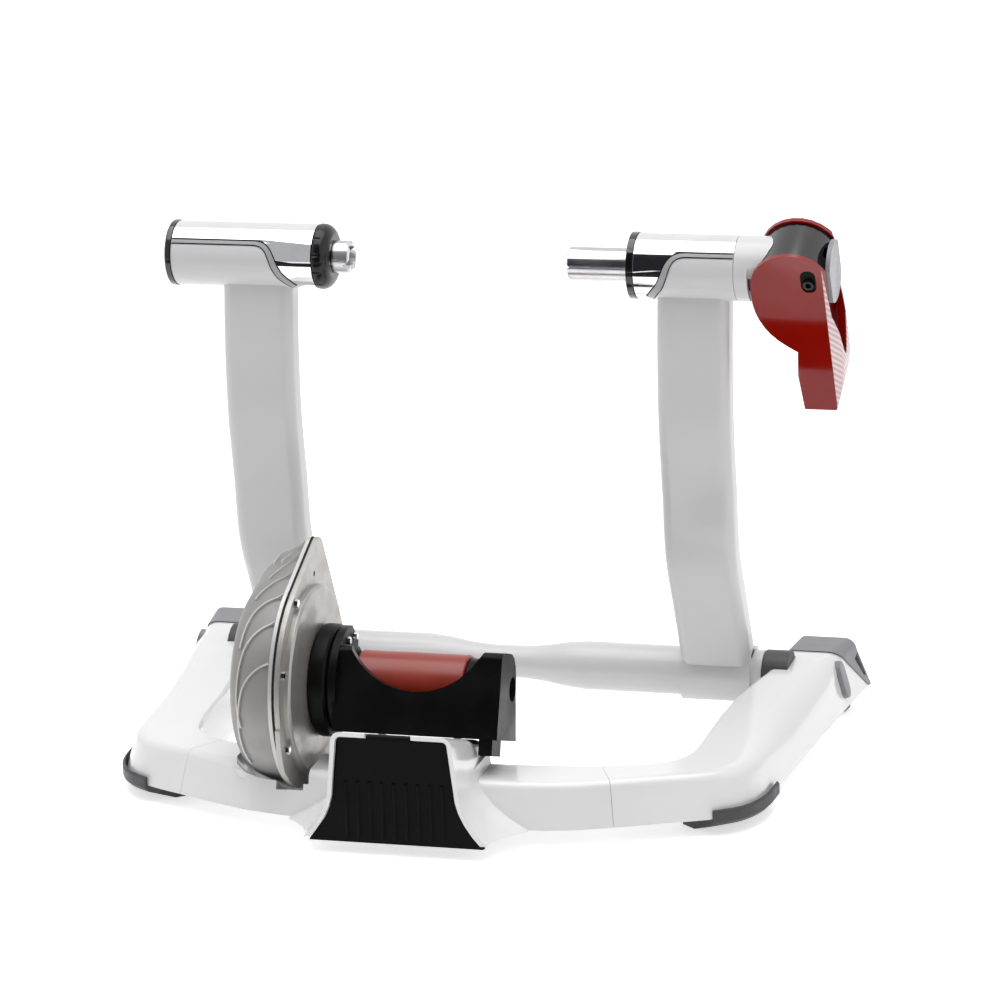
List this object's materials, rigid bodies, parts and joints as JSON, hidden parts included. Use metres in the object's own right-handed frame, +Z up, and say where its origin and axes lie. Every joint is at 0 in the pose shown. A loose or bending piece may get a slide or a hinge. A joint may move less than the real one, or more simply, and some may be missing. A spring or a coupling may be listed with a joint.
{
  "type": "bicycle turbo trainer",
  "caption": "Folding fluid bicycle trainer: a floor frame clamps the rear axle between a cup and a cam-lever spindle and holds the tyre on a braked roller.",
  "frame": {"origin": "on the floor under the middle of the whole trainer's box", "axes": "+X along the wheel axle towards the lever, -Y towards the roller and brake, +Z up"},
  "size_m": [0.537, 0.394, 0.4066],
  "materials": {
    "white_shell": "smooth glossy moulded plastic",
    "black_moulding": "fine matt moulded plastic",
    "grey_moulding": "fine matt moulded plastic",
    "foot_rubber": "satin rubber",
    "bright_steel": "zinc-plated steel",
    "cover_alloy": "satin cast and machined aluminium",
    "cast_alloy": "grey sand-cast aluminium, raised fins lighter",
    "seal_rubber": "matt sealing rubber",
    "roller_rubber": "satin red sleeve",
    "frame_paint": "light grey to white satin paint",
    "tube_chrome": "polished chrome plating",
    "gloss_black": "glossy black plastic",
    "disc_alloy": "silver-white satin disc",
    "lever_red": "glossy red moulded plastic"
  },
  "bodies": {
    "base": {"base_centre": "white_shell", "arch_panel": "black_moulding", "wing_right": "white_shell", "wing_left": "white_shell", "end_cap_right": "grey_moulding", "end_cap_left": "grey_moulding", "front_foot_right": "foot_rubber", "front_foot_left": "foot_rubber", "rear_foot_right": "foot_rubber", "rear_foot_left": "foot_rubber", "side_plug_right": "grey_moulding", "side_plug_left": "grey_moulding", "hinge_bush_right": "grey_moulding", "hinge_bush_left": "grey_moulding", "hinge_pin_right": "bright_steel", "hinge_pin_left": "bright_steel", "seam_bolt_right": "bright_steel", "seam_bolt_left": "bright_steel", "roller_housing": "black_moulding", "coupling_flange": "black_moulding", "flange_screw_1": "bright_steel", "flange_screw_2": "bright_steel", "cover_plate": "cover_alloy", "rim_gasket": "seal_rubber", "dome_housing": "cast_alloy", "rim_screw_1": "bright_steel", "rim_screw_2": "bright_steel", "rim_screw_3": "bright_steel", "rim_screw_4": "bright_steel", "rim_screw_5": "bright_steel", "rim_screw_6": "bright_steel", "shaft_seal": "seal_rubber", "bearing_left": "bright_steel", "bearing_right": "bright_steel", "mount_bolt_1": "bright_steel", "mount_bolt_2": "bright_steel"},
    "upper_frame": {"crossbar": "frame_paint", "arm_left": "frame_paint", "arm_right": "frame_paint", "clamp_tube_left": "tube_chrome", "clamp_tube_right": "tube_chrome", "cradle_left": "frame_paint", "cradle_right": "frame_paint", "end_plug_left": "black_moulding", "clamp_nut": "bright_steel", "tube_ring_right": "black_moulding", "spindle_bush": "black_moulding", "tube_collar_right": "frame_paint", "head_block": "gloss_black", "head_disc": "disc_alloy", "return_spring": "bright_steel"},
    "roller": {"roller_shaft": "bright_steel", "roller_sleeve": "roller_rubber", "roller_collar": "black_moulding", "impeller": "cover_alloy"},
    "knob": {"adjuster_knob": "gloss_black"},
    "cup": {"axle_cup_left": "tube_chrome"},
    "spindle": {"axle_spindle": "tube_chrome"},
    "lever": {"lever": "lever_red", "lever_cam_pin": "bright_steel"}
  },
  "joints": [
    {"name": "frame_fold", "type": "hinge", "parent": "base", "child": "upper_frame", "pos_m": [-0.00143, 0.121, 0.042], "axis": [1, 0, 0], "range_deg": [-90, 45]},
    {"name": "roller_spin", "type": "hinge", "parent": "base", "child": "roller", "pos_m": [-0.00143, -0.0954, 0.0951], "axis": [1, 0, 0], "continuous": true},
    {"name": "lever_swing", "type": "hinge", "parent": "upper_frame", "child": "lever", "pos_m": [0.25257, 0.06289, 0.37453], "axis": [0, -0.9063, -0.4226], "range_deg": [0, 100]},
    {"name": "spindle_slide", "type": "slide", "parent": "upper_frame", "child": "spindle", "axis": [1, 0, 0], "range_m": [0, 0.008]},
    {"name": "knob_turn", "type": "hinge", "parent": "upper_frame", "child": "knob", "pos_m": [-0.00143, 0.065, 0.37], "axis": [1, 0, 0], "range_deg": [0, 1440]},
    {"name": "cup_slide", "type": "slide", "parent": "upper_frame", "child": "cup", "axis": [1, 0, 0], "range_m": [0, 0.008]}
  ],
  "couplings": [
    {"joint": "spindle_slide", "follows": "lever_swing", "m_per_rad": 0.0045837},
    {"joint": "knob_turn", "follows": "cup_slide", "rad_per_m": 3141.6}
  ]
}
